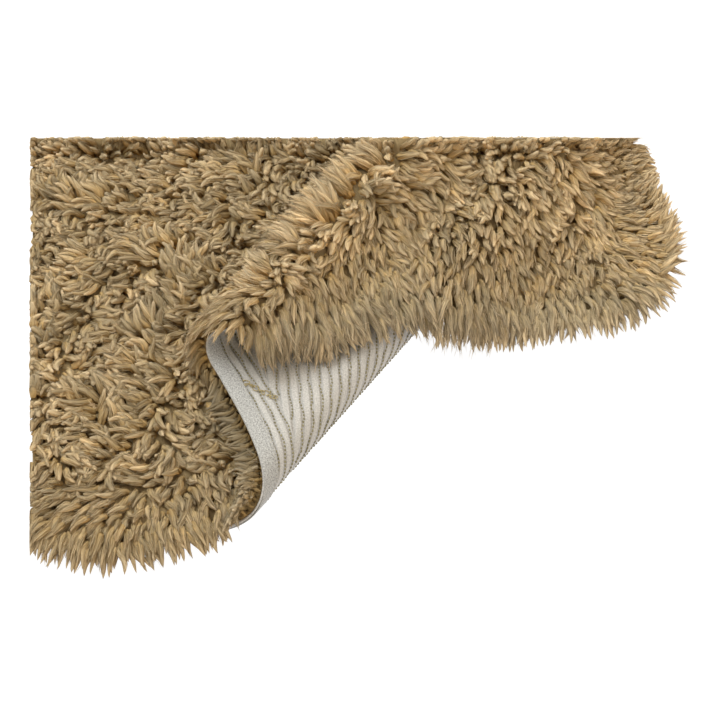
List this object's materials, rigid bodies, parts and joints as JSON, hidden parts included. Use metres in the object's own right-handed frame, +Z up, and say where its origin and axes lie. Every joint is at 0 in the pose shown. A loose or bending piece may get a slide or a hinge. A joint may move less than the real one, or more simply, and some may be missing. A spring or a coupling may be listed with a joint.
{
  "type": "wool rug",
  "caption": "Corner of a shaggy wool rug with a lobed edge, folded over on itself so that a strip of its cotton backing and its edge tape shows.",
  "frame": {"origin": "on the floor, under the middle of the folded rug", "axes": "+X to the right along the rug's front edge, +Y away from the front edge, +Z up"},
  "size_m": [0.741, 0.57, 0.1364],
  "materials": {
    "cotton_cloth": "woven cotton, natural cream, matte",
    "cotton_tape": "fine twill cotton tape, cream, matte",
    "wool": "long crimped wool pile, sandy beige, matte"
  },
  "bodies": {
    "root": {"base_cloth": "cotton_cloth", "edge_tape": "cotton_tape", "wool_pile": "wool"}
  },
  "joints": []
}
